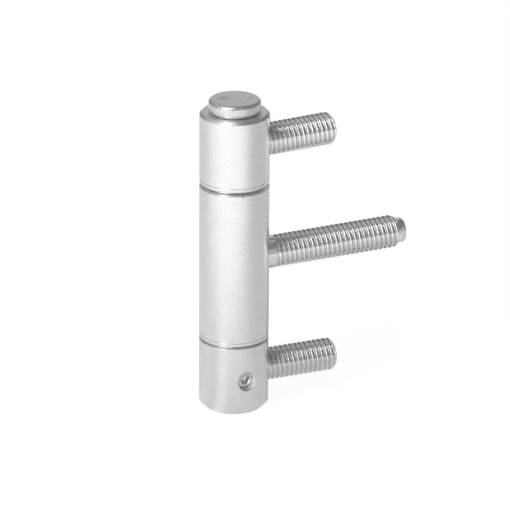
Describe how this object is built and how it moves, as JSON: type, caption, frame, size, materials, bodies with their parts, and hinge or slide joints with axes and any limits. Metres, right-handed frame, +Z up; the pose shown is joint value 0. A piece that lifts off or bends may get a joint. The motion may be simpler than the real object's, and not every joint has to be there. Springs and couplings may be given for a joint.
{
  "type": "pin hinge",
  "caption": "Three-part round pin hinge for a door: stacked cylindrical knuckles on a headed pin, each with a threaded stud standing out to one side.",
  "frame": {"origin": "centre of the lower knuckle's foot face, on the hinge axis", "axes": "+Z up along the hinge axis towards the pin's head, +X along the lower stud, -Y towards the side of the grub screw"},
  "size_m": [0.0637, 0.02, 0.0938],
  "materials": {
    "satin_plated_steel": "satin, matt plated",
    "plated_ring_steel": "satin, turned",
    "zinc_plated_steel": "plated, slightly rough",
    "thread_steel": "plated, bright rolled thread",
    "screw_steel": "plated, bright"
  },
  "bodies": {
    "lower_knuckle": {"lower_knuckle": "satin_plated_steel", "lower_stud": "thread_steel"},
    "middle_knuckle": {"middle_knuckle": "satin_plated_steel", "middle_stud": "thread_steel", "middle_bush": "plated_ring_steel"},
    "upper_knuckle": {"upper_knuckle": "satin_plated_steel", "upper_stud": "thread_steel", "upper_bush": "plated_ring_steel"},
    "hinge_pin": {"hinge_pin": "zinc_plated_steel"},
    "grub_screw": {"grub_screw": "screw_steel"}
  },
  "joints": [
    {"name": "door_swing", "type": "hinge", "parent": "lower_knuckle", "child": "middle_knuckle", "pos_m": [0, 0, 0], "axis": [0, 0, 1], "continuous": true},
    {"name": "upper_turn", "type": "hinge", "parent": "lower_knuckle", "child": "upper_knuckle", "pos_m": [0, 0, 0], "axis": [0, 0, 1], "continuous": true},
    {"name": "pin_lift", "type": "slide", "parent": "lower_knuckle", "child": "hinge_pin", "axis": [0, 0, 1], "range_m": [0, 0.084]},
    {"name": "screw_travel", "type": "slide", "parent": "lower_knuckle", "child": "grub_screw", "axis": [0, -1, 0], "range_m": [0, 0.0065]}
  ]
}
